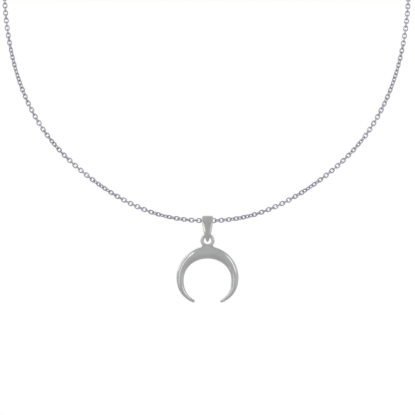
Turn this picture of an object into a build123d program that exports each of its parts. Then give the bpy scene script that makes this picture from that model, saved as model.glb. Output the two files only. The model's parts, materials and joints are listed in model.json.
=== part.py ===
from build123d import *
import math
import os

# Crescent moon pendant on a trace chain, in millimetres.
# The loop of chain lies in the XZ plane with +Z up. The origin is at its top, where it rests on the nape.
# The photograph looks along +Y. All of it is silver.

# Loop of chain, measured to its centre line
loop_half_width = 62.0
loop_half_height = 68.3
chain_width = 1.62

# Moon
moon_outer_radius = 9.5
moon_width = 3.8
moon_depth = 2.3
moon_tip_angle = 152.0
moon_tip_diameter = 0.86

# Ring soldered on the moon
ring_outer_diameter = 4.35
ring_wire = 1.06
ring_sink = 0.4
solder_root_width = 3.9
solder_top_width = 2.8
solder_depth = 1.35
solder_root = 0.5
solder_rise = 0.3

# Bail
bail_width = 3.46
bail_wall = 0.62
bail_lower_wall = 0.42
bail_slot_length = 5.95
bail_tip_radius = 0.3
bail_corner = 0.55
bevel_start = 0.63
bevel_width = 0.91
bevel_depth = 0.4

# Clasp at the nape
clasp_length = 6.2
clasp_diameter = 2.4
clasp_rounding = 0.7
eye_diameter = 2.0
eye_wire = 0.55
eye_sink = 0.3

# Clearances
hang_gap = 0.1
chain_play = 0.49
ring_play = 0.1
tip_clearance = 0.66

# Moon's sections from its top towards its tip: angle round the moon's centre in degrees, then the distance
# of the outer edge as a share of moon_outer_radius, and the width and depth as shares of the moon's own.
# The tip has its own angle and diameter above, and is rounded by a share of its diameter.
moon_section_shares = [
    (0, 1.015, 1.00, 1.00),
    (20, 1.010, 0.96, 0.99),
    (40, 1.003, 0.865, 0.96),
    (60, 1.004, 0.75, 0.92),
    (80, 1.001, 0.64, 0.86),
    (100, 1.002, 0.56, 0.78),
    (120, 0.992, 0.44, 0.65),
    (136, 0.960, 0.32, 0.48),
]
moon_tip_edge_share = 0.922
tip_round_share = 0.46

# Bail's front outline, top to tip: distance down and half width as shares of the bail's own.
# The bevels run between two places on that outline, and each ends in a small slope down to the plain neck.
bail_outline_shares = [
    (0.00, 1.00),
    (0.15, 0.99),
    (0.32, 0.92),
    (0.58, 0.73),
    (0.77, 0.52),
    (0.94, 0.27),
    (1.00, 0.07),
]
bevel_top_shares = (0.20, 0.97)
bevel_bottom_shares = (0.62, 0.69)
neck_shares = (0.74, 0.555)

# Half of the chain's route, from its lowest run up to the last corner before the clasp.
# Distance from the middle is a share of loop_half_width, height above the centre of loop_half_height.
chain_route_shares = [
    (0.145, -1.0),
    (0.375, -0.935),
    (0.60, -0.80),
    (0.785, -0.63),
    (0.915, -0.415),
    (0.99, -0.165),
    (1.005, 0.11),
    (0.965, 0.37),
    (0.865, 0.60),
    (0.70, 0.79),
    (0.48, 0.93),
    (0.23, 1.0),
]
arc_share = 0.45

# Heights, from the chain's lowest run down to the moon
chain_radius = chain_width / 2
chain_low = -2 * loop_half_height
ring_centre_radius = (ring_outer_diameter - ring_wire) / 2
ring_hole_radius = ring_outer_diameter / 2 - ring_wire
ring_clear_radius = ring_wire / 2 + ring_play
bail_slot_radius = chain_radius + chain_play
bail_slot_top = chain_low + chain_radius + hang_gap
bail_slot_bottom = bail_slot_top - bail_slot_length
bail_top = bail_slot_top + bail_wall
ring_height = bail_slot_bottom + ring_play - ring_hole_radius
bail_tip = ring_height - ring_hole_radius + tip_clearance
bail_height = bail_top - bail_tip
moon_top = ring_height - ring_outer_diameter / 2 + ring_sink
moon_height = moon_top - moon_outer_radius * moon_section_shares[0][1]

# Moon with its ring: an oval section swept round in few steps, solder between the two
moon_rows = []
for angle, edge_share, width_share, depth_share in moon_section_shares:
    half_width = moon_width * width_share / 2
    reach = moon_outer_radius * edge_share - half_width
    moon_rows.append((angle, reach, half_width, moon_depth * depth_share / 2))
tip_radius = moon_tip_diameter / 2
tip_reach = moon_outer_radius * moon_tip_edge_share - tip_radius
moon_rows.append((moon_tip_angle, tip_reach, tip_radius, tip_radius))
other_rows = [(-angle, *sizes) for angle, *sizes in reversed(moon_rows[1:])]


def moon_plane(angle, reach):
    """Plane across the moon at an angle from its top: its x runs outward and its y front to back."""
    turn = math.radians(angle)
    outward = Vector(math.sin(turn), 0, math.cos(turn))
    along = Vector(math.cos(turn), 0, -math.sin(turn))
    return Plane(origin=Vector(0, 0, moon_height) + outward * reach, x_dir=outward, z_dir=along)


with BuildPart() as crescent:
    for angle, reach, half_width, half_depth in other_rows + moon_rows:
        with BuildSketch(moon_plane(angle, reach)):
            Ellipse(half_width, half_depth)
    loft()
    fillet(crescent.faces().filter_by(GeomType.PLANE).edges(), moon_tip_diameter * tip_round_share)
    with BuildSketch(Plane.XY.offset(moon_top - solder_root)):
        Ellipse(solder_root_width / 2, solder_depth / 2)
    with BuildSketch(Plane.XY.offset(moon_top + solder_rise)):
        Ellipse(solder_top_width / 2, ring_wire / 2)
    loft()
    with Locations((0, 0, ring_height)):
        Cylinder(ring_hole_radius, moon_depth, rotation=(90, 0, 0), mode=Mode.SUBTRACT)
        Torus(ring_centre_radius, ring_wire / 2, rotation=(90, 0, 0))
crescent.part.label = "crescent"

# Bail: a teardrop loop seen from the side, tapered and bevelled seen from the front
slot_upper = bail_slot_top - bail_slot_radius
slot_lower = bail_slot_bottom + ring_clear_radius
arm_upper_radius = bail_slot_radius + bail_wall
arm_lower_radius = ring_clear_radius + bail_lower_wall
arm_lean = math.asin((arm_upper_radius - arm_lower_radius) / (slot_upper - slot_lower))


def arm_depth(height):
    """Distance of the bail's straight front arm from the middle plane at a height."""
    return (arm_upper_radius + (height - slot_upper) * math.sin(arm_lean)) / math.cos(arm_lean)


def bevel_corner(place, inset, sink):
    """Point of the front right bevel: inset from the outline at a place on it, sunk from the arm's face."""
    down, wide = place
    height = bail_top - bail_height * down
    return Vector(bail_width / 2 * wide - inset, sink - arm_depth(height), height)


upper = bevel_corner(bevel_top_shares, bevel_start, 0)
lower = bevel_corner(bevel_bottom_shares, bevel_width, 0)
rim = bevel_corner(bevel_bottom_shares, 0, bevel_depth)
neck = bevel_corner(neck_shares, 0, 0)

# What the front right bevel takes away: all that lies outside its plane and above the slope at its lower end
with BuildPart() as bevel_cut:
    with Locations((0, 0, bail_top)):
        Box(bail_width, arm_upper_radius * 2, bail_height, align=(Align.MIN, Align.MAX, Align.MAX))
    split(bisect_by=Plane(origin=lower, z_dir=(lower - upper).cross(rim - lower)), keep=Keep.TOP)
    split(bisect_by=Plane(origin=lower, z_dir=(neck - lower).cross(rim - lower)), keep=Keep.TOP)

with BuildPart() as bail:
    with BuildSketch(Plane.YZ):
        with Locations((0, slot_upper)):
            Circle(arm_upper_radius)
        with Locations((0, slot_lower)):
            Circle(arm_lower_radius)
        with Locations((0, bail_tip + bail_tip_radius)):
            Circle(bail_tip_radius)
        make_hull()
    extrude(amount=bail_width / 2, both=True)
    with BuildSketch(Plane.YZ):
        with Locations((0, slot_upper)):
            Circle(bail_slot_radius)
        with Locations((0, slot_lower)):
            Circle(ring_clear_radius)
        make_hull()
    extrude(amount=bail_width / 2, both=True, mode=Mode.SUBTRACT)
    with BuildSketch(Plane.XZ) as outline:
        half_outline = []
        for down, wide in bail_outline_shares:
            half_outline.append((bail_width / 2 * wide, bail_top - bail_height * down))
        Polygon(*half_outline, *[(-x, z) for x, z in reversed(half_outline)], align=None)
        fillet(outline.vertices().group_by(Axis.Y)[-1], bail_corner)
    extrude(amount=arm_upper_radius, both=True, mode=Mode.INTERSECT)
    front_cuts = [bevel_cut.part, bevel_cut.part.mirror(Plane.YZ)]
    for cut in front_cuts:
        add([cut, cut.mirror(Plane.XZ)], mode=Mode.SUBTRACT)
    with Locations((0, 0, ring_height)):
        Torus(ring_centre_radius, ring_clear_radius, rotation=(90, 0, 0), mode=Mode.SUBTRACT)
bail.part.label = "bail"

# Clasp: a plain rounded barrel with a fixed eye at each end
eye_place = clasp_length / 2 + eye_diameter / 2 - eye_sink
clasp_reach = eye_place + eye_diameter / 2

with BuildPart() as clasp:
    Cylinder(clasp_diameter / 2, clasp_length, rotation=(0, 90, 0))
    fillet(clasp.edges().filter_by(GeomType.CIRCLE), clasp_rounding)
    with Locations((eye_place, 0, 0), (-eye_place, 0, 0)):
        Torus((eye_diameter - eye_wire) / 2, eye_wire / 2, rotation=(90, 0, 0))
clasp.part.label = "clasp"

# Chain: its outer form, a tube of straight runs joined by tangent arcs from one clasp eye to the other
chain_end = clasp_reach + hang_gap
half_route = [(loop_half_width * across, loop_half_height * (up - 1)) for across, up in chain_route_shares]
half_route.append((chain_end, 0))
route = [(-x, z) for x, z in reversed(half_route)] + half_route
radii = []
for before, corner, after in zip(route, route[1:], route[2:]):
    arriving = Vector(*corner) - Vector(*before)
    leaving = Vector(*after) - Vector(*corner)
    half_turn = math.radians(arriving.get_angle(leaving)) / 2
    radii.append(arc_share * min(arriving.length, leaving.length) / math.tan(half_turn))

with BuildPart() as chain:
    with BuildLine(Plane.XZ) as chain_line:
        FilletPolyline(*route, radius=radii)
    with BuildSketch(Plane(origin=chain_line.line @ 0, z_dir=chain_line.line % 0)):
        Circle(chain_radius)
    sweep()
chain.part.label = "chain"

os.makedirs("parts", exist_ok=True)
for piece in (crescent, bail, chain, clasp):
    export_step(piece.part, f"parts/{piece.part.label}.step")

chain_length = chain_line.wire().length
print("arc radii of the chain's route:", [round(radius, 1) for radius in radii])
print("chain length", round(chain_length, 1), "loop length", round(chain_length + 2 * chain_end, 1))
tube_volume = math.pi * chain_radius**2 * chain_length
print("tube volume over section times length:", chain.part.volume / tube_volume)
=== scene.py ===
"""Crescent moon necklace: a polished silver horn, its faceted bail, and the fine trace chain that carries them."""

import json
import math
import random

import bmesh
import bpy
import numpy as np
from bpy.props import FloatProperty, FloatVectorProperty, IntProperty, PointerProperty
from mathutils import Matrix, Vector


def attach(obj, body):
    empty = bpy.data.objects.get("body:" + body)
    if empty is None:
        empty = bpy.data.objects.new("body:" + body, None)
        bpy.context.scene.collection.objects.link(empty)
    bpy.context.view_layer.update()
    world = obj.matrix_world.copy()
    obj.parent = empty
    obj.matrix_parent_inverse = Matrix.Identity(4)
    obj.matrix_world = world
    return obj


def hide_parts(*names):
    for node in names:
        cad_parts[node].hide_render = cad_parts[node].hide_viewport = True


bl_info = {
    "name": "Crescent Moon Necklace",
    "version": (1, 0, 0),
    "blender": (4, 5, 0),
    "location": "3D View > Sidebar > Necklace",
    "description": "Builds a silver crescent moon pendant on its trace chain",
    "category": "Add Mesh",
}

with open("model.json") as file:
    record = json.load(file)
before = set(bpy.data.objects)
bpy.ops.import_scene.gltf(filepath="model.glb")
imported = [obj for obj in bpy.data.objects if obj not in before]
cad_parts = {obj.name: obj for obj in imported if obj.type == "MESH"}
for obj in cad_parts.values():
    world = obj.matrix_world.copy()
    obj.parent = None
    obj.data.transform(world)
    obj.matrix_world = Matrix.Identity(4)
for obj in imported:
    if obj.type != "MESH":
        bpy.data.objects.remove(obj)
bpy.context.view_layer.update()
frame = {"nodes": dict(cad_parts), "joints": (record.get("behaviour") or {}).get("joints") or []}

MM = 0.001
RING_CENTRE = Vector(next(joint["pos_m"] for joint in frame["joints"] if joint["name"] == "moon_swing"))

# Moon's sections from its top to its tip: angle in degrees, then shares of the outer radius, width and depth
MOON_SECTIONS = (
    (0, 1.015, 1.00, 1.00),
    (20, 1.010, 0.96, 0.99),
    (40, 1.003, 0.865, 0.96),
    (60, 1.004, 0.75, 0.92),
    (80, 1.001, 0.64, 0.86),
    (100, 1.002, 0.56, 0.78),
    (120, 0.992, 0.44, 0.65),
    (136, 0.960, 0.32, 0.48),
)
TIP_ANGLE = 152
TIP_EDGE = 0.922

# Bail seen from the side: circles that its outer and inner walls wrap, each a height above the ring's centre
# and a radius
OUTER_TOP, OUTER_LOW, OUTER_TIP = (5.665 * MM, 1.92 * MM), (1.645 * MM, 1.05 * MM), (-0.155 * MM, 0.3 * MM)
INNER_TOP, INNER_LOW = (5.665 * MM, 1.3 * MM), (1.645 * MM, 0.63 * MM)
BAIL_TOP = 7.585 * MM
BAIL_HEIGHT = 8.04 * MM

# Bail seen from the front: distance down as a share of its height, half width as a share of its own
BAIL_OUTLINE = ((0.0, 1.0), (0.15, 0.99), (0.32, 0.92), (0.58, 0.73), (0.77, 0.52), (0.94, 0.27), (1.0, 0.07))

# Rows across the straight arm, as shares down the bail. The facets end at one of them, give or take a little.
FACET_END = 0.62
FACET_TOLERANCE = 0.001
ARM_ROWS = (0.32, 0.45, 0.58, FACET_END, 0.74)

# Row below the neck, as a share of the way from the outer wall's lower circle to its tip's
LOW_ROW = 0.79

# Front right facet's line on the arm: share down and distance from the middle, at its start and at its end
FACET_LINE = ((0.2, 1.05 * MM), (FACET_END, 0.28 * MM))

# Bail's section before it is drawn out: a place across and the layer that it is in. On the outer wall the places
# are the facet's line, the inner edge of the worn rim, and the bail's own edge.
LINE_PLACE, RIM_PLACE, EDGE_PLACE = 1, 2, 3
INNER_LAYER, RIM_LAYER, OUTER_LAYER = 1, 2, 3
BAIL_SECTION = (
    (-EDGE_PLACE, OUTER_LAYER),
    (-RIM_PLACE, OUTER_LAYER),
    (-LINE_PLACE, OUTER_LAYER),
    (LINE_PLACE, OUTER_LAYER),
    (RIM_PLACE, OUTER_LAYER),
    (EDGE_PLACE, OUTER_LAYER),
    (EDGE_PLACE, RIM_LAYER),
    (EDGE_PLACE, INNER_LAYER),
    (EDGE_PLACE / 2, INNER_LAYER),
    (0, INNER_LAYER),
    (-EDGE_PLACE / 2, INNER_LAYER),
    (-EDGE_PLACE, INNER_LAYER),
    (-EDGE_PLACE, RIM_LAYER),
)

# Control points of the chain's line in metres, from the clasp's left eye down and round to its right eye: across,
# up. The line lies a third of a millimetre to the left of the pendant's middle, as a worn chain may.
CHAIN_ROUTE = (
    (-0.0049, 0.0),
    (-0.01426, 0.0),
    (-0.02979, -0.00472),
    (-0.0435, -0.01424),
    (-0.05381, -0.02722),
    (-0.0601, -0.04296),
    (-0.06266, -0.06078),
    (-0.06154, -0.07959),
    (-0.05716, -0.09681),
    (-0.04901, -0.11158),
    (-0.03723, -0.12298),
    (-0.02322, -0.13209),
    (-0.00899, -0.1366),
    (0.00899, -0.1366),
    (0.02306, -0.13177),
    (0.03699, -0.12269),
    (0.04857, -0.11126),
    (0.05659, -0.09658),
    (0.06088, -0.07949),
    (0.06205, -0.0608),
    (0.05963, -0.04308),
    (0.0535, -0.0274),
    (0.04333, -0.01442),
    (0.02974, -0.00483),
    (0.01426, 0.0),
    (0.0049, 0.0),
)

# Slow twist of the chain: distance from its middle link in metres, twist in eighths of a turn
CHAIN_TWIST = (
    (0.0, 0.25),
    (0.004, 0.36),
    (0.0075, 0.54),
    (0.0115, 0.8),
    (0.013, 1.0),
    (0.0155, 1.38),
    (0.0195, 1.82),
    (0.0235, 1.98),
    (0.0275, 2.33),
    (0.031, 2.65),
    (0.0325, 3.0),
    (0.0345, 3.0),
    (0.036, 2.65),
    (0.0395, 2.25),
    (0.0435, 2.1),
    (0.0475, 2.25),
    (0.0515, 2.5),
    (0.054, 2.75),
    (0.0565, 3.55),
    (0.0595, 3.85),
    (0.0635, 4.2),
    (0.0675, 4.45),
    (0.0715, 4.62),
    (0.0755, 4.9),
    (0.0795, 5.05),
    (0.0835, 5.15),
    (0.0875, 5.5),
    (0.0915, 5.87),
    (0.0955, 6.0),
    (0.118, 6.3),
    (0.124, 7.0),
    (0.133, 7.2),
    (0.139, 8.0),
    (0.168, 8.0),
)
EIGHTH_TURN = math.pi / 4

# Where the twist ends, and how many eighths it then has for the end links to stand across the clasp's eyes, which
# depends on whether the links on each side of the middle one are odd or even in number
TWIST_END = 0.19
ODD_END_TWIST, EVEN_END_TWIST = 8, 10

# Fineness of the meshes
SECTION_SIDES = 44
BODY_STEPS = 96
CAP_STEPS = 7
RING_STEPS = 72
RING_SIDES = 24
LINK_SIDES = 16
WIRE_SIDES = 6
LINE_STEPS = 48
FLOOR_SIDES = 64

# Steps round the circles of the bail's side view. The outer wall's foot, with two circles and a row between them,
# has as many rows as the inner wall's.
TOP_STEPS = 14
LOW_STEPS = 9
OUTER_LOW_STEPS = 2
TIP_STEPS = 5

# Points nearer than this become one: at the moon's tips, and where the bail's facets run out
TIP_MERGE = 0.0001 * MM
FACET_MERGE = 0.004 * MM

# Edges that turn by more than these stay crisp, or are softened on the bail
CREASE_ANGLE = math.radians(24)
FACET_ANGLE = math.radians(16)

# Distance of the moon's section from the centre while it is plain and round, before it is drawn out
PLAIN_REACH = 8.0

# Swelling of solder on the moon: its reach to each side, its reach front and back, and how wide its slopes are
SOLDER_REACH = 2.2 * MM
SOLDER_DEPTH = 1.0 * MM
SOLDER_SLOPE = 0.8 * MM

# Centre of the link that passes through the clasp's eye, place of the middle link on the chain's line, half the
# length over which the line's direction is taken, and half the width of a link's middle, which isn't drawn out
END_LINK_X = 4.825 * MM
MIDDLE_LINK = -0.145 * MM
TANGENT_STEP = 0.3 * MM
LINK_MIDDLE = 0.01 * MM

# Noise in the silver: scale, detail, and the levels between which the pattern grows from none to full
TARNISH_CLOUDS = (420.0, 4.0, 0.42, 0.74)
WORN_SPOTS = (2600.0, 3.0, 0.35, 0.75)
SCRATCH_LINES = (21000.0, 2.0, 0.6, 0.72)
GRAIN_SCALE, GRAIN_DETAIL = 52000.0, 2.0

# Scratches run three ways: a turn in radians, of which each axis has its share, and length over width
SCRATCH_RUNS = ((0.35, 22.0), (1.3, 30.0), (2.25, 26.0))
SCRATCH_AXES = (0.6, 1.0, 1.7)

# What the patterns add to the roughness, and how high the grain is beside the scratches' depth
WORN_ROUGHNESS = 0.06
TARNISH_ROUGHNESS = 0.12
SCRATCH_ROUGHNESS = 0.05
GRAIN_HEIGHT = 0.25

# Share of the tarnish's colour where it is thickest
PENDANT_TARNISH = 0.35
CHAIN_TARNISH = 0.5

# Studio
SENSOR = 36.0
CLIP_START, CLIP_END = 0.01, 20.0
FLOOR_RADIUS = 3.0
LIT_POINT = Vector((0, 0, -0.15))
LIGHT_DISTANCE = 0.7

# Greys of the room that the silver reflects: below, above, beside and behind the pendant
LOW_GREY = (0.48, 0.486, 0.492)
HIGH_GREY = (0.54, 0.545, 0.56)
SIDE_GREY = (0.605, 0.625, 0.63)
BACK_GREY = (0.66, 0.66, 0.66)

# Where one grey gives way to the next, by the direction's height, the squares of its height and of its part
# across, and its depth
HIGH_BAND = (-0.6, 0.0)
LEVEL_BAND = (0.02, 0.2)
SIDE_BAND = (0.02, 0.25)
BACK_BAND = (-0.1, 0.5)

# Lights: name, azimuth and elevation in degrees of the lower and of the upper end, width in metres, brightness,
# colour
SOFT_BOXES = (
    ("strip_left", (-25, -10), (-24, 26), 0.054, 1.5, (0.96, 1.0, 0.975)),
    ("strip_left_top", (-24, 26), (-38, 42), 0.09, 0.95, (0.96, 1.0, 0.975)),
    ("strip_right", (41, 4), (55, 42), 0.12, 1.2, (0.96, 1.0, 0.975)),
    ("side_left", (-66, 10), (-66, 46), 0.24, 0.4, (0.96, 1.0, 0.98)),
    ("back_left", (-116, 8), (-116, 62), 0.85, 0.5, (0.97, 1.0, 0.98)),
    ("side_right", (80, 8), (80, 40), 0.4, 0.14, (0.96, 1.0, 0.97)),
    ("low_left", (-49, -32.5), (-49, -26.5), 0.075, 1.0, (1.0, 0.99, 0.88)),
    ("low_right", (49, -32.5), (49, -26.5), 0.075, 0.5, (0.93, 1.0, 0.95)),
)


class MoonSizes(bpy.types.PropertyGroup):
    """Sizes of the moon and the ring soldered on it"""

    outer_radius: FloatProperty(
        name="Outer radius", description="Radius of the moon's outer edge", default=9.5 * MM, unit="LENGTH"
    )
    width: FloatProperty(name="Width", description="Width at the top of the moon", default=3.8 * MM, unit="LENGTH")
    depth: FloatProperty(name="Depth", description="Depth front to back", default=2.3 * MM, unit="LENGTH")
    tip_diameter: FloatProperty(
        name="Tip diameter", description="Thickness of the rounded tips", default=0.86 * MM, unit="LENGTH"
    )
    ring_diameter: FloatProperty(
        name="Ring diameter", description="Outer diameter of the ring", default=4.35 * MM, unit="LENGTH"
    )
    ring_wire: FloatProperty(name="Ring wire", description="Thickness of the ring", default=1.06 * MM, unit="LENGTH")
    ring_sink: FloatProperty(
        name="Ring sink", description="Depth the ring sits in the moon", default=0.4 * MM, unit="LENGTH"
    )
    solder_rise: FloatProperty(
        name="Solder rise", description="Height of the solder round the ring's foot", default=0.42 * MM, unit="LENGTH"
    )


class BailSizes(bpy.types.PropertyGroup):
    """Sizes of the bail"""

    width: FloatProperty(name="Width", description="Width at the top", default=3.46 * MM, unit="LENGTH")
    corner: FloatProperty(name="Corner", description="Radius of the top corners", default=0.55 * MM, unit="LENGTH")
    facet_depth: FloatProperty(
        name="Facet depth", description="Depth of the facets at their lower end", default=0.37 * MM, unit="LENGTH"
    )
    rim_width: FloatProperty(name="Rim width", description="Width of the worn rim", default=0.13 * MM, unit="LENGTH")
    rim_depth: FloatProperty(name="Rim depth", description="Depth of the worn rim", default=0.06 * MM, unit="LENGTH")
    edge_softness: FloatProperty(
        name="Edge softness", description="Width of the polished edges", default=0.02 * MM, unit="LENGTH"
    )


class ChainSizes(bpy.types.PropertyGroup):
    """Sizes of the trace chain's links"""

    pitch: FloatProperty(
        name="Pitch", description="Distance from link to link, about this", default=1.145 * MM, unit="LENGTH"
    )
    link_width: FloatProperty(name="Link width", description="Outer width of a link", default=1.6 * MM, unit="LENGTH")
    wire: FloatProperty(name="Wire", description="Thickness of the wire", default=0.4 * MM, unit="LENGTH")
    play: FloatProperty(name="Play", description="Gap between two links", default=0.012 * MM, unit="LENGTH")
    unevenness: FloatProperty(
        name="Unevenness", description="Most a link turns from its place", default=math.radians(9), subtype="ANGLE"
    )
    seed: IntProperty(name="Seed", description="Order of the uneven links", default=4)


class SilverFinish(bpy.types.PropertyGroup):
    """Colours and polish of the silver"""

    pendant_colour: FloatVectorProperty(
        name="Pendant", description="Colour of the moon and bail", default=(0.72, 0.72, 0.71), subtype="COLOR"
    )
    chain_colour: FloatVectorProperty(
        name="Chain", description="Colour of the chain and clasp", default=(0.62, 0.6, 0.7), subtype="COLOR"
    )
    tarnish_colour: FloatVectorProperty(
        name="Tarnish", description="Colour of the thin tarnish", default=(0.56, 0.54, 0.49), subtype="COLOR"
    )
    pendant_roughness: FloatProperty(
        name="Pendant roughness",
        description="Roughness of the polished moon",
        default=0.1,
        min=0,
        max=1,
        subtype="FACTOR",
    )
    chain_roughness: FloatProperty(
        name="Chain roughness", description="Roughness of the chain", default=0.15, min=0, max=1, subtype="FACTOR"
    )
    scratch_depth: FloatProperty(
        name="Scratch depth", description="Depth of the polishing scratches", default=0.0002 * MM, unit="LENGTH"
    )


class StudioSettings(bpy.types.PropertyGroup):
    """Background, light and camera"""

    background: FloatVectorProperty(
        name="Background", description="Colour behind the object", default=(1.0, 1.0, 1.0), subtype="COLOR"
    )
    floor_drop: FloatProperty(
        name="Floor drop", description="Distance of the floor below the clasp", default=0.34, unit="LENGTH"
    )
    lens: FloatProperty(name="Lens", description="Focal length in millimetres", default=170.0, unit="CAMERA")
    view_width: FloatProperty(
        name="View width", description="Width that the picture shows", default=0.1272, unit="LENGTH"
    )
    view_height: FloatProperty(
        name="View height", description="Height of the camera's axis", default=-0.13255, unit="LENGTH"
    )


class NecklaceSettings(bpy.types.PropertyGroup):
    """All settings of the necklace"""

    moon: PointerProperty(type=MoonSizes)
    bail: PointerProperty(type=BailSizes)
    chain: PointerProperty(type=ChainSizes)
    silver: PointerProperty(type=SilverFinish)
    studio: PointerProperty(type=StudioSettings)


def fill(tree, socket, given):
    """Links a value to a socket, or sets the socket itself to a plain number or colour"""
    if isinstance(given, Value):
        tree.links.new(given.socket, socket)
    else:
        socket.default_value = given


class Value:
    """A shader socket that takes part in sums, such as 1 - mask or mask * 0.3"""

    def __init__(self, tree, socket):
        self.tree = tree
        self.socket = socket

    def sum(self, operation, first, second):
        """Adds the Math node of a sum and gives its result"""
        node = self.tree.nodes.new("ShaderNodeMath")
        node.operation = operation
        for place, part in zip(node.inputs, (first, second)):
            fill(self.tree, place, part)
        return Value(self.tree, node.outputs[0])

    def __add__(self, other):
        return self.sum("ADD", self, other)

    def __radd__(self, other):
        return self.sum("ADD", other, self)

    def __sub__(self, other):
        return self.sum("SUBTRACT", self, other)

    def __rsub__(self, other):
        return self.sum("SUBTRACT", other, self)

    def __mul__(self, other):
        return self.sum("MULTIPLY", self, other)

    def __rmul__(self, other):
        return self.sum("MULTIPLY", other, self)


class NodeTree:
    """Adds nodes to a material's or the world's tree"""

    def __init__(self, tree):
        self.tree = tree
        tree.nodes.clear()

    def add(self, kind, settings=None, inputs=None):
        """Adds a node, makes its settings, and then fills its sockets"""
        node = self.tree.nodes.new(kind)
        for name, setting in (settings or {}).items():
            setattr(node, name, setting)
        for name, given in (inputs or {}).items():
            fill(self.tree, node.inputs[name], given)
        return node

    def out(self, node, name):
        """One output of a node as a value"""
        return Value(self.tree, node.outputs[name])

    def get(self, kind, output, settings=None, inputs=None):
        """Adds a node and gives one output of it"""
        return self.out(self.add(kind, settings, inputs), output)

    def colour_mix(self, factor, first, second):
        """Mix of two colours. The node's sockets go by number, because its kinds of mix share their names."""
        return self.get("ShaderNodeMix", 2, {"data_type": "RGBA"}, {0: factor, 6: first, 7: second})

    def clamped(self, value, low, high):
        """0 below low, 1 above high, and a smooth step between"""
        inputs = {"Value": value, "From Min": low, "From Max": high}
        return self.get("ShaderNodeMapRange", "Result", {"interpolation_type": "SMOOTHSTEP"}, inputs)

    def noise(self, place, scale, detail):
        """Noise from 0 to 1"""
        return self.get("ShaderNodeTexNoise", "Fac", None, {"Vector": place, "Scale": scale, "Detail": detail})

    def pattern(self, place, scale, detail, low, high):
        """Noise that is none below one level and full above another"""
        return self.clamped(self.noise(place, scale, detail), low, high)


def rgba(colour):
    """A colour with no transparency"""
    return (*colour, 1.0)


def silver_material(name, colour, roughness, tarnish):
    """Polished silver with fine scratches, worn patches and a thin tarnish, made when it is first asked for"""
    if name in bpy.data.materials:
        return bpy.data.materials[name]
    silver = bpy.context.scene.necklace.silver
    material = bpy.data.materials.new(name)
    material.use_nodes = True
    tree = NodeTree(material.node_tree)
    place = tree.get("ShaderNodeTexCoord", "Object")

    film = tree.pattern(place, *TARNISH_CLOUDS)
    worn = tree.pattern(place, *WORN_SPOTS)
    base = tree.colour_mix(film * tarnish, rgba(colour), rgba(silver.tarnish_colour))

    scratches = 0.0
    for turn, stretch in SCRATCH_RUNS:
        rotation = tuple(turn * share for share in SCRATCH_AXES)
        inputs = {"Vector": place, "Rotation": rotation, "Scale": (1.0, 1.0, stretch)}
        along = tree.get("ShaderNodeMapping", "Vector", {"vector_type": "TEXTURE"}, inputs)
        scratches = scratches + tree.pattern(along, *SCRATCH_LINES)
    grain = tree.noise(place, GRAIN_SCALE, GRAIN_DETAIL)

    gloss = roughness + worn * WORN_ROUGHNESS + film * (tarnish * TARNISH_ROUGHNESS) + scratches * SCRATCH_ROUGHNESS
    height = grain * GRAIN_HEIGHT - scratches
    inputs = {"Height": height, "Distance": silver.scratch_depth, "Strength": 1.0}
    bump = tree.get("ShaderNodeBump", "Normal", None, inputs)
    inputs = {"Base Color": base, "Metallic": 1.0, "Roughness": gloss, "Normal": bump}
    shader = tree.get("ShaderNodeBsdfPrincipled", "BSDF", None, inputs)
    tree.add("ShaderNodeOutputMaterial", None, {"Surface": shader})
    return material


def pendant_silver():
    """Silver of the moon and the bail"""
    silver = bpy.context.scene.necklace.silver
    return silver_material("pendant_polish", silver.pendant_colour, silver.pendant_roughness, PENDANT_TARNISH)


def chain_silver():
    """Silver of the chain and the clasp"""
    silver = bpy.context.scene.necklace.silver
    return silver_material("chain_polish", silver.chain_colour, silver.chain_roughness, CHAIN_TARNISH)


def new_piece(name, bm, material):
    """Smoothly shaded object made from a bmesh, with one material"""
    mesh = bpy.data.meshes.new(name)
    bm.to_mesh(mesh)
    bm.free()
    for face in mesh.polygons:
        face.use_smooth = True
    mesh.materials.append(material)
    piece = bpy.data.objects.new(name, mesh)
    bpy.context.scene.collection.objects.link(piece)
    return piece


def keep_edges_crisp(piece):
    """Marks as sharp the piece's edges that turn too far to be shaded smooth"""
    piece.data.set_sharp_from_angle(angle=CREASE_ANGLE)


def apply_modifiers(piece):
    """Gives the piece the mesh that its modifiers make"""
    depsgraph = bpy.context.evaluated_depsgraph_get()
    mesh = bpy.data.meshes.new_from_object(piece.evaluated_get(depsgraph))
    piece.modifiers.clear()
    piece.data = mesh


class SmoothLine:
    """A cubic spline through a few values, level at the first one"""

    def __init__(self, places, values):
        self.places = places
        self.values = values
        gaps = np.diff(places)
        slopes = np.diff(values) / gaps
        count = len(places)
        system = np.zeros((count, count))
        turn = np.zeros(count)
        system[0, :2] = 2 * gaps[0], gaps[0]
        turn[0] = 6 * slopes[0]
        for i in range(1, count - 1):
            system[i, i - 1 : i + 2] = gaps[i - 1], 2 * (gaps[i - 1] + gaps[i]), gaps[i]
            turn[i] = 6 * (slopes[i] - slopes[i - 1])
        system[-1, -1] = 1
        self.bends = np.linalg.solve(system, turn)

    def at(self, place):
        """Value at a place"""
        i = max(0, min(len(self.places) - 2, int(np.searchsorted(self.places, place)) - 1))
        gap = self.places[i + 1] - self.places[i]
        up = (place - self.places[i]) / gap
        down = 1 - up
        level = down * self.values[i] + up * self.values[i + 1]
        sag = (down**3 - down) * self.bends[i] + (up**3 - up) * self.bends[i + 1]
        return level + sag * gap**2 / 6


def smooth_step(share):
    """0 below 0, 1 above 1, and a smooth step between"""
    share = max(0.0, min(1.0, share))
    return share * share * (3 - 2 * share)


def built_spin(bm, section, angle, steps, closed, axis=(0, 1, 0)):
    """Spins a section round an axis, which is Y unless another is given"""
    bmesh.ops.spin(
        bm,
        geom=section,
        cent=(0, 0, 0),
        axis=axis,
        angle=angle,
        steps=steps,
        use_merge=closed,
        use_duplicate=False,
    )


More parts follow.
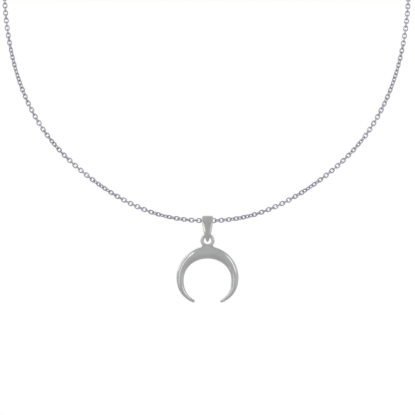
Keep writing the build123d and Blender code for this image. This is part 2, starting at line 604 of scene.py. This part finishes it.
def upright_circle(bm, segments, radius, reach, start=0.0):
    """Circle, alone in its bmesh, in a plane through the Y axis, at a reach from it, turned to a start angle"""
    verts = bmesh.ops.create_circle(bm, segments=segments, radius=radius)["verts"]
    bmesh.ops.rotate(bm, verts=verts, cent=(0, 0, 0), matrix=Matrix.Rotation(math.pi / 2, 3, "Y"))
    bmesh.ops.translate(bm, verts=verts, vec=(0, 0, reach))
    bmesh.ops.rotate(bm, verts=verts, cent=(0, 0, 0), matrix=Matrix.Rotation(start, 3, "Y"))
    return verts + bm.edges[:]


def ring_mesh(diameter, wire, centre, around=RING_STEPS, across=RING_SIDES):
    """Round ring that stands upright, its axis front to back"""
    bm = bmesh.new()
    section = upright_circle(bm, across, wire / 2, (diameter - wire) / 2)
    built_spin(bm, section, math.tau, around, True)
    bmesh.ops.translate(bm, verts=bm.verts[:], vec=centre)
    bmesh.ops.recalc_face_normals(bm, faces=bm.faces[:])
    return bm


def moon_rows(sizes):
    """Moon's sections from its top to its tip: angle, reach of the section's middle, half width and half depth"""
    rows = []
    for angle, edge, width, depth in MOON_SECTIONS:
        half_width = sizes.width * width / 2
        rows.append((math.radians(angle), sizes.outer_radius * edge - half_width, half_width, sizes.depth * depth / 2))
    tip_radius = sizes.tip_diameter / 2
    rows.append((math.radians(TIP_ANGLE), sizes.outer_radius * TIP_EDGE - tip_radius, tip_radius, tip_radius))
    return rows


def horn_stations(body_angle, tip_angle):
    """Angles from the moon's top to its tip, each with the share of the section that the round tip leaves there"""
    stations = [(body_angle * i / BODY_STEPS, 1.0) for i in range(BODY_STEPS + 1)]
    for i in range(1, CAP_STEPS + 1):
        turn = math.pi / 2 * i / CAP_STEPS
        stations.append((body_angle + (tip_angle - body_angle) * math.sin(turn), math.cos(turn)))
    return stations


def solder_height(rise, across, deep):
    """Height of the solder at a distance from the middle, sideways and front to back"""
    near = smooth_step((SOLDER_REACH - across) / SOLDER_SLOPE)
    return rise * near * smooth_step((SOLDER_DEPTH - abs(deep)) / SOLDER_SLOPE)


def moon_mesh(sizes):
    """The moon alone: a round section spun about its centre, then drawn out to its oval and its two tips"""
    rows = moon_rows(sizes)
    angles, *columns = np.array(rows).T
    reach_line, width_line, depth_line = (SmoothLine(angles, column) for column in columns)
    tip_angle, tip_reach, tip_radius, _ = rows[-1]
    stations = horn_stations(tip_angle - tip_radius / tip_reach, tip_angle)
    steps = len(stations) - 1

    bm = bmesh.new()
    section = upright_circle(bm, SECTION_SIDES, 1.0, PLAIN_REACH, -tip_angle)
    built_spin(bm, section, 2 * tip_angle, 2 * steps, False)

    moon_top = RING_CENTRE.z - sizes.ring_diameter / 2 + sizes.ring_sink
    centre_height = moon_top - sizes.outer_radius * MOON_SECTIONS[0][1]
    for vert in bm.verts:
        plain_angle = math.atan2(vert.co.x, vert.co.z)
        outward = math.hypot(vert.co.x, vert.co.z) - PLAIN_REACH
        angle, share = stations[round(abs(plain_angle) / tip_angle * steps)]
        reach = reach_line.at(angle) + width_line.at(angle) * outward * share
        deep = depth_line.at(angle) * vert.co.y * share
        if outward > 0:
            reach += solder_height(sizes.solder_rise, reach * math.sin(angle), deep)
        angle = math.copysign(angle, plain_angle)
        vert.co = (reach * math.sin(angle), deep, centre_height + reach * math.cos(angle))
    bmesh.ops.remove_doubles(bm, verts=bm.verts[:], dist=TIP_MERGE)
    bmesh.ops.recalc_face_normals(bm, faces=bm.faces[:])
    return bm


def arc_rows(circle, start, end, steps):
    """Rows round a circle of the bail's side view: depth, height, and the angle that the wall faces from the top"""
    height, radius = circle
    angles = np.linspace(start, end, steps + 1)
    return [(radius * math.sin(angle), height + radius * math.cos(angle), angle) for angle in angles]


def rows_between(start, end, shares):
    """Rows at shares of the way from one row to another"""
    return [tuple(a + (b - a) * share for a, b in zip(start, end)) for share in shares]


def touch_angle(upper, lower):
    """Angle where a line that touches two circles leaves the upper one"""
    return math.pi / 2 + math.asin((upper[1] - lower[1]) / (upper[0] - lower[0]))


def bail_rows():
    """Rows of the bail's outer and inner walls, as many of each, from its top down one arm to its lowest place"""
    arm_angle = touch_angle(OUTER_TOP, OUTER_LOW)
    neck_angle = touch_angle(OUTER_LOW, OUTER_TIP)
    inner_angle = touch_angle(INNER_TOP, INNER_LOW)
    top = arc_rows(OUTER_TOP, 0, arm_angle, TOP_STEPS)
    low = arc_rows(OUTER_LOW, arm_angle, neck_angle, OUTER_LOW_STEPS)
    tip = arc_rows(OUTER_TIP, neck_angle, math.pi, TIP_STEPS)
    start, end = top[-1], low[0]
    shares = [(start[1] - BAIL_TOP + down * BAIL_HEIGHT) / (start[1] - end[1]) for down in ARM_ROWS]
    outer = top + rows_between(start, end, shares) + low + rows_between(low[-1], tip[0], (LOW_ROW,)) + tip
    inner_top = arc_rows(INNER_TOP, 0, inner_angle, TOP_STEPS)
    inner_low = arc_rows(INNER_LOW, inner_angle, math.pi, LOW_STEPS)
    inner = inner_top + rows_between(inner_top[-1], inner_low[0], shares) + inner_low
    return outer, inner


class BailShape:
    """Where the bail's walls, its outline and its facets lie. A point is a distance across, a depth and a height."""

    def __init__(self, sizes):
        self.sizes = sizes
        (top_down, top_across), (end_down, end_across) = FACET_LINE
        end = Vector((end_across, self.arm_depth(end_down), BAIL_TOP - end_down * BAIL_HEIGHT))
        top = Vector((top_across, self.arm_depth(top_down), BAIL_TOP - top_down * BAIL_HEIGHT))
        rim = Vector((self.half_width(end.z), end.y - sizes.facet_depth, end.z))
        self.facet_end = end
        self.facet_normal = (rim - end).cross(top - end).normalized()

    def arm_depth(self, down):
        """Depth of the straight arm's face at a share of the way down"""
        lean = touch_angle(OUTER_TOP, OUTER_LOW) - math.pi / 2
        above = BAIL_TOP - down * BAIL_HEIGHT - OUTER_TOP[0]
        return (OUTER_TOP[1] + above * math.sin(lean)) / math.cos(lean)

    def half_width(self, height):
        """Half width of the front outline at a height"""
        down = BAIL_TOP - height
        half = self.sizes.width / 2 * np.interp(down / BAIL_HEIGHT, *zip(*BAIL_OUTLINE))
        corner = self.sizes.corner
        if down < corner:
            half -= corner - math.sqrt(corner**2 - (corner - down) ** 2)
        return half

    def facet(self, row, rim):
        """Distance of the facet's line from the middle, and the facet's depth at the rim"""
        depth, height, angle = row
        normal = self.facet_normal
        if BAIL_TOP - height > (FACET_END + FACET_TOLERANCE) * BAIL_HEIGHT:
            return rim, 0
        away = normal.y * (depth - self.facet_end.y) + normal.z * (height - self.facet_end.z)
        line = self.facet_end.x - away / normal.x
        if line >= rim:
            return rim, 0
        return line, (rim - line) * normal.x / (normal.y * math.sin(angle) + normal.z * math.cos(angle))

    def outer_point(self, row, place):
        """Point of the outer wall, at one of its three places across"""
        depth, height, angle = row
        half = self.half_width(height)
        rim = half - min(self.sizes.rim_width, half / 2)
        line, sink = self.facet(row, rim)
        if place == LINE_PLACE:
            across, sink = line, 0
        elif place == RIM_PLACE:
            across = rim
        else:
            across = half
            sink += self.sizes.rim_depth
        return across, depth - sink * math.sin(angle), height - sink * math.cos(angle)

    def rim_point(self, outer_row, inner_row):
        """Point of the edge, halfway between the outer and the inner wall"""
        _, depth, height = self.outer_point(outer_row, EDGE_PLACE)
        depth, height = (depth + inner_row[0]) / 2, (height + inner_row[1]) / 2
        return self.half_width(height), depth, height

    def inner_point(self, row, place, foot):
        """Point of the inner wall, at a place across"""
        depth, height, _ = row
        across = self.half_width(height) * place / EDGE_PLACE
        if foot:
            # The ring's wire, which the foot lies on, curves down to both sides
            across = self.half_width(math.sqrt(height**2 - across**2)) * place / EDGE_PLACE
            height = math.sqrt(height**2 - across**2)
        return across, depth, height


def bail_mesh(sizes):
    """The bail: a section spun into a ring, then drawn out to the tapering loop with its facets"""
    shape = BailShape(sizes)
    outer, inner = bail_rows()
    steps = len(outer) - 1
    bm = bmesh.new()
    verts = [bm.verts.new((across, 0, layer)) for across, layer in BAIL_SECTION]
    edges = [bm.edges.new((verts[i - 1], verts[i])) for i in range(len(verts))]
    built_spin(bm, verts + edges, math.tau, 2 * steps, True, (1, 0, 0))
    for vert in bm.verts:
        place, layer = abs(vert.co.x), round(math.hypot(vert.co.y, vert.co.z))
        row = round(abs(math.atan2(vert.co.y, vert.co.z)) / math.pi * steps)
        if layer == OUTER_LAYER:
            across, depth, height = shape.outer_point(outer[row], round(place))
        elif layer == RIM_LAYER:
            across, depth, height = shape.rim_point(outer[row], inner[row])
        else:
            across, depth, height = shape.inner_point(inner[row], place, row >= steps - LOW_STEPS)
        vert.co = (math.copysign(across, vert.co.x), math.copysign(depth, vert.co.y), RING_CENTRE.z + height)
    bmesh.ops.remove_doubles(bm, verts=bm.verts[:], dist=FACET_MERGE)
    bmesh.ops.recalc_face_normals(bm, faces=bm.faces[:])
    return bm


def unite(piece, other):
    """Joins two closed pieces that run into each other into one skin"""
    modifier = piece.modifiers.new("union", "BOOLEAN")
    modifier.operation = "UNION"
    modifier.solver = "EXACT"
    modifier.object = other
    apply_modifiers(piece)
    bpy.data.objects.remove(other)


class NECKLACE_OT_crescent(bpy.types.Operator):
    """Make the moon with the ring soldered on its top"""

    bl_idname = "necklace.crescent"
    bl_label = "Crescent"

    def execute(self, context):
        sizes = context.scene.necklace.moon
        silver = pendant_silver()
        piece = new_piece("crescent_moon", moon_mesh(sizes), silver)
        ring = new_piece("ring_part", ring_mesh(sizes.ring_diameter, sizes.ring_wire, RING_CENTRE), silver)
        unite(piece, ring)
        keep_edges_crisp(piece)
        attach(piece, "moon")
        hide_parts("crescent")
        return {"FINISHED"}


class NECKLACE_OT_bail(bpy.types.Operator):
    """Make the bail with its edges softened by polishing"""

    bl_idname = "necklace.bail"
    bl_label = "Bail"

    def execute(self, context):
        sizes = context.scene.necklace.bail
        piece = new_piece("bail_faceted", bail_mesh(sizes), pendant_silver())
        modifier = piece.modifiers.new("softened", "BEVEL")
        modifier.width = sizes.edge_softness
        modifier.segments = 2
        modifier.limit_method = "ANGLE"
        modifier.angle_limit = FACET_ANGLE
        modifier.use_clamp_overlap = False
        apply_modifiers(piece)
        keep_edges_crisp(piece)
        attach(piece, "bail")
        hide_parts("bail")
        return {"FINISHED"}


class ChainLine:
    """The chain's smooth line, with places on it counted from its lowest point, where the bail hangs"""

    def __init__(self):
        curve = bpy.data.curves.new("chain_line", "CURVE")
        curve.dimensions = "3D"
        curve.resolution_u = LINE_STEPS
        spline = curve.splines.new("NURBS")
        spline.points.add(len(CHAIN_ROUTE) - 1)
        for point, (across, up) in zip(spline.points, CHAIN_ROUTE):
            point.co = (across, 0, up, 1)
        spline.order_u = 3
        spline.use_endpoint_u = True
        holder = bpy.data.objects.new("chain_line", curve)
        mesh = bpy.data.meshes.new_from_object(holder)
        self.points = np.array([vert.co for vert in mesh.vertices])
        bpy.data.objects.remove(holder)
        bpy.data.curves.remove(curve)
        bpy.data.meshes.remove(mesh)
        runs = np.linalg.norm(np.diff(self.points, axis=0), axis=1)
        self.places = np.concatenate(([0], np.cumsum(runs)))
        self.places -= self.places[np.argmin(self.points[:, 2])]

    def point(self, place):
        """Point at a place between the ends"""
        return Vector([np.interp(place, self.places, column) for column in self.points.T])

    def at(self, place):
        """Point and direction at a place, straight on past the ends"""
        inner = max(self.places[0], min(self.places[-1], place))
        direction = (self.point(inner + TANGENT_STEP) - self.point(inner - TANGENT_STEP)).normalized()
        return self.point(inner) + direction * (place - inner), direction


def chain_twist(distance, last_twist):
    """Twist of the chain at a distance from its middle"""
    marks = [*CHAIN_TWIST, (TWIST_END, last_twist)]
    distances, twists = zip(*marks)
    return float(np.interp(distance, distances, twists)) * EIGHTH_TURN


def link_mesh(width, length, wire):
    """One link: a round ring of wire drawn out to an oval along X, lying in the XZ plane"""
    bm = ring_mesh(width, wire, (0, 0, 0), LINK_SIDES, WIRE_SIDES)
    for side in (-1, 1):
        verts = [vert for vert in bm.verts if vert.co.x * side > LINK_MIDDLE]
        bmesh.ops.translate(bm, verts=verts, vec=(side * (length - width) / 2, 0, 0))
    mesh = bpy.data.meshes.new("link")
    bm.to_mesh(mesh)
    bm.free()
    return mesh


class NECKLACE_OT_chain(bpy.types.Operator):
    """Make the trace chain from its links, each through the next"""

    bl_idname = "necklace.chain"
    bl_label = "Chain"

    def execute(self, context):
        sizes = context.scene.necklace.chain
        line = ChainLine()
        # The end links' wires lie inside the clasp's eyes, and as many links hang left as right of the middle one
        overhang = line.points[-1][0] - END_LINK_X
        lengths = overhang + MIDDLE_LINK - line.places[0], overhang - MIDDLE_LINK + line.places[-1]
        count = round(sum(lengths) / 2 / sizes.pitch)
        left_pitch, right_pitch = (length / count for length in lengths)
        last_twist = ODD_END_TWIST if count % 2 else EVEN_END_TWIST
        length = max(left_pitch, right_pitch) + 2 * sizes.wire + sizes.play
        link = link_mesh(sizes.link_width, length, sizes.wire)
        depth = Vector((0, 1, 0))
        shuffle = random.Random(sizes.seed)
        bm = bmesh.new()
        for i in range(-count, count + 1):
            side, pitch = (-1, left_pitch) if i < 0 else (1, right_pitch)
            distance = abs(i) * pitch
            point, along = line.at(MIDDLE_LINK + side * distance)
            flat = Matrix((along, depth, along.cross(depth))).transposed()
            roll = (i % 2) * math.pi / 2 + side * chain_twist(distance, last_twist)
            roll += shuffle.uniform(-sizes.unevenness, sizes.unevenness)
            turn = flat.to_4x4() @ Matrix.Rotation(roll, 4, "X")
            first = len(bm.verts)
            bm.from_mesh(link)
            bm.verts.ensure_lookup_table()
            bmesh.ops.transform(bm, matrix=Matrix.Translation(point) @ turn, verts=bm.verts[first:])
        bpy.data.meshes.remove(link)
        piece = new_piece("chain_links", bm, chain_silver())
        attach(piece, "necklace")
        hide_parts("chain")
        return {"FINISHED"}


class NECKLACE_OT_clasp(bpy.types.Operator):
    """Finish the clasp in the chain's silver"""

    bl_idname = "necklace.clasp"
    bl_label = "Clasp"

    def execute(self, context):
        silver = chain_silver()
        for place in frame["nodes"]["clasp"].material_slots:
            place.material = silver
        return {"FINISHED"}


def toward(azimuth, elevation):
    """Direction from the pendant. Azimuth 0 is the camera's side and grows to its right."""
    side, up = math.radians(azimuth), math.radians(elevation)
    return Vector((math.sin(side) * math.cos(up), -math.cos(side) * math.cos(up), math.sin(up)))


def soft_box(name, low, high, width, brightness, colour):
    """Rectangular light that faces the pendant, drawn out from one direction to another"""
    low_end, high_end = toward(*low) * LIGHT_DISTANCE, toward(*high) * LIGHT_DISTANCE
    along = high_end - low_end
    away = (low_end + high_end).normalized()
    light = bpy.data.lights.new(name, "AREA")
    light.shape = "RECTANGLE"
    light.size = width
    light.size_y = along.length
    light.energy = brightness * math.pi * width * along.length
    light.color = colour
    lamp = bpy.data.objects.new(name, light)
    lamp.visible_camera = False
    bpy.context.scene.collection.objects.link(lamp)
    along.normalize()
    lamp.location = LIT_POINT + (low_end + high_end) / 2
    lamp.rotation_euler = Matrix((along.cross(away), along, away)).transposed().to_euler()


def make_floor(studio):
    """Plain floor in the colour of the background, which the silver doesn't reflect"""
    material = bpy.data.materials.new("floor_white")
    material.use_nodes = True
    tree = NodeTree(material.node_tree)
    inputs = {
        "Base Color": rgba((0.0, 0.0, 0.0)),
        "Specular IOR Level": 0.0,
        "Emission Color": rgba(studio.background),
        "Emission Strength": 1.0,
    }
    shader = tree.get("ShaderNodeBsdfPrincipled", "BSDF", None, inputs)
    tree.add("ShaderNodeOutputMaterial", None, {"Surface": shader})
    bm = bmesh.new()
    bmesh.ops.create_circle(bm, cap_ends=True, segments=FLOOR_SIDES, radius=FLOOR_RADIUS)
    bmesh.ops.translate(bm, verts=bm.verts[:], vec=(0, 0, -studio.floor_drop))
    floor = new_piece("floor", bm, material)
    floor.visible_glossy = False


def make_room(studio):
    """Plain background for the camera, and a grey room for the silver to reflect"""
    world = bpy.data.worlds.new("studio")
    world.use_nodes = True
    bpy.context.scene.world = world
    tree = NodeTree(world.node_tree)
    direction = tree.get("ShaderNodeTexCoord", "Generated")
    split = tree.add("ShaderNodeSeparateXYZ", None, {"Vector": direction})
    across, depth, height = (tree.out(split, axis) for axis in "XYZ")
    up = tree.clamped(height, *HIGH_BAND)
    level = 1 - tree.clamped(height * height, *LEVEL_BAND)
    beside = tree.clamped(across * across, *SIDE_BAND)
    behind = tree.clamped(depth, *BACK_BAND)
    middle = tree.colour_mix(up, rgba(LOW_GREY), rgba(HIGH_GREY))
    front = tree.colour_mix(beside * level, middle, rgba(SIDE_GREY))
    room = tree.colour_mix(behind, front, rgba(BACK_GREY))
    seen = tree.get("ShaderNodeLightPath", "Is Camera Ray")
    colour = tree.colour_mix(seen, room, rgba(studio.background))
    shader = tree.get("ShaderNodeBackground", "Background", None, {"Color": colour, "Strength": 1.0})
    tree.add("ShaderNodeOutputWorld", None, {"Surface": shader})


def make_camera(studio):
    """Camera that looks level at the pendant, as wide as the photograph"""
    data = bpy.data.cameras.new("camera")
    data.lens = studio.lens
    data.sensor_width = SENSOR
    data.clip_start, data.clip_end = CLIP_START, CLIP_END
    camera = bpy.data.objects.new("camera", data)
    camera.location = (0, -studio.view_width * studio.lens / SENSOR, studio.view_height)
    camera.rotation_euler = (math.pi / 2, 0, 0)
    bpy.context.scene.collection.objects.link(camera)
    bpy.context.scene.camera = camera


class NECKLACE_OT_stage(bpy.types.Operator):
    """Make the floor, the studio light and the camera"""

    bl_idname = "necklace.stage"
    bl_label = "Stage"

    def execute(self, context):
        studio = context.scene.necklace.studio
        make_floor(studio)
        make_room(studio)
        for light in SOFT_BOXES:
            soft_box(*light)
        make_camera(studio)
        context.scene.view_settings.view_transform = "Standard"
        return {"FINISHED"}


class VIEW3D_PT_necklace(bpy.types.Panel):
    """Sizes, colours and steps of the necklace"""

    bl_label = "Crescent Moon Necklace"
    bl_space_type = "VIEW_3D"
    bl_region_type = "UI"
    bl_category = "Necklace"

    def draw(self, context):
        settings = context.scene.necklace
        for title, group, step in (
            ("Crescent", settings.moon, "necklace.crescent"),
            ("Bail", settings.bail, "necklace.bail"),
            ("Chain", settings.chain, "necklace.chain"),
            ("Silver", settings.silver, "necklace.clasp"),
            ("Studio", settings.studio, "necklace.stage"),
        ):
            box = self.layout.box()
            box.label(text=title)
            for name in group.bl_rna.properties.keys():
                if name not in {"rna_type", "name"}:
                    box.prop(group, name)
            box.operator(step)


CLASSES = (
    MoonSizes,
    BailSizes,
    ChainSizes,
    SilverFinish,
    StudioSettings,
    NecklaceSettings,
    NECKLACE_OT_crescent,
    NECKLACE_OT_bail,
    NECKLACE_OT_chain,
    NECKLACE_OT_clasp,
    NECKLACE_OT_stage,
    VIEW3D_PT_necklace,
)


def register():
    for cls in CLASSES:
        bpy.utils.register_class(cls)
    bpy.types.Scene.necklace = PointerProperty(type=NecklaceSettings)


def unregister():
    del bpy.types.Scene.necklace
    for cls in reversed(CLASSES):
        bpy.utils.unregister_class(cls)


def main():
    register()
    bpy.ops.necklace.crescent()
    bpy.ops.necklace.bail()
    bpy.ops.necklace.chain()
    bpy.ops.necklace.clasp()
    bpy.ops.necklace.stage()


if __name__ == "__main__":
    main()
